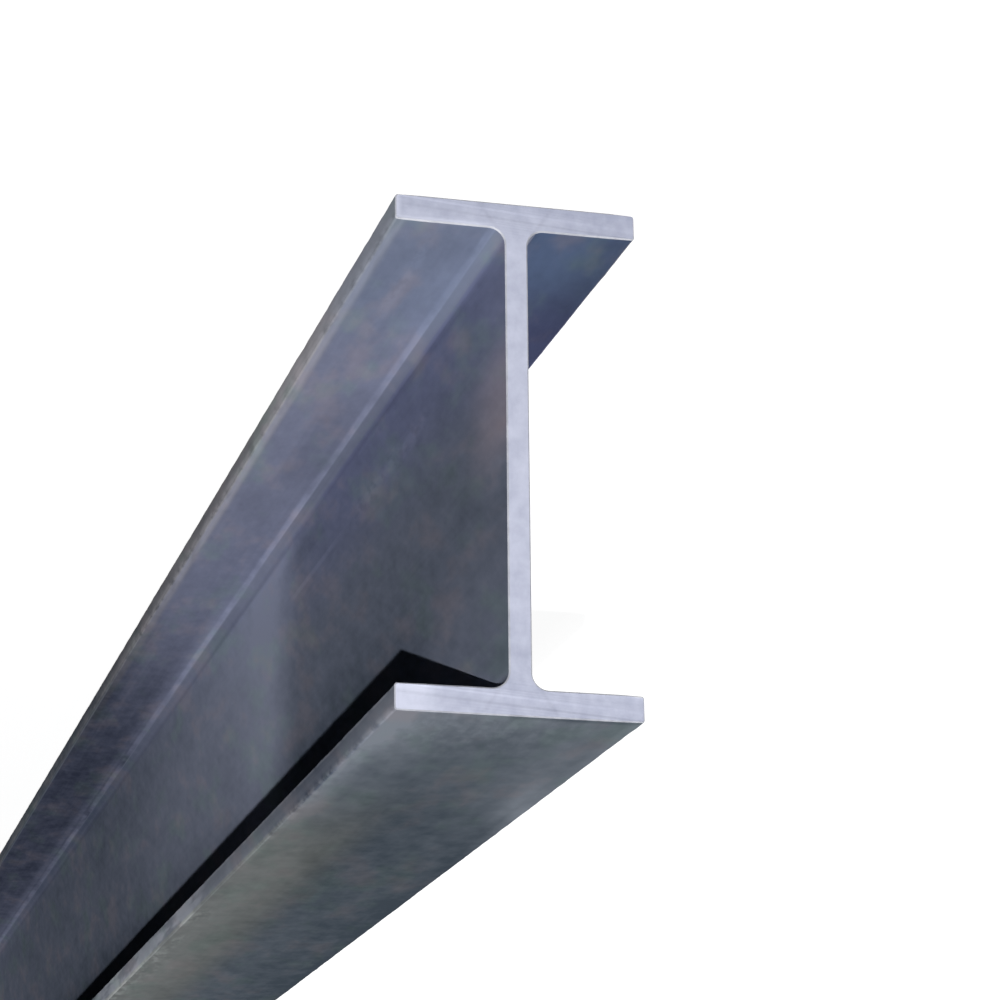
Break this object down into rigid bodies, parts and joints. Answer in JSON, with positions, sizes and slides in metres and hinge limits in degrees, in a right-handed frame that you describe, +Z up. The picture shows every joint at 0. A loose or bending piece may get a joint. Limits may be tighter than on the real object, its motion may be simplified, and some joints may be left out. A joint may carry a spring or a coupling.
{
  "type": "steel i-beam",
  "caption": "Stock length of hot-rolled steel I-section with parallel flanges, root fillets and square sawn ends, used as a beam, joist or column.",
  "frame": {"origin": "mid-length, under the web, on the outer face of the bottom flange, which the beam stands on", "axes": "+Y runs along the beam, +Z is up through the web from the bottom flange to the top flange, and +X is square to the web"},
  "size_m": [0.118, 6, 0.25],
  "materials": {
    "mill_scale_steel": "satin"
  },
  "bodies": {
    "root": {"i_beam": "mill_scale_steel"}
  },
  "joints": []
}
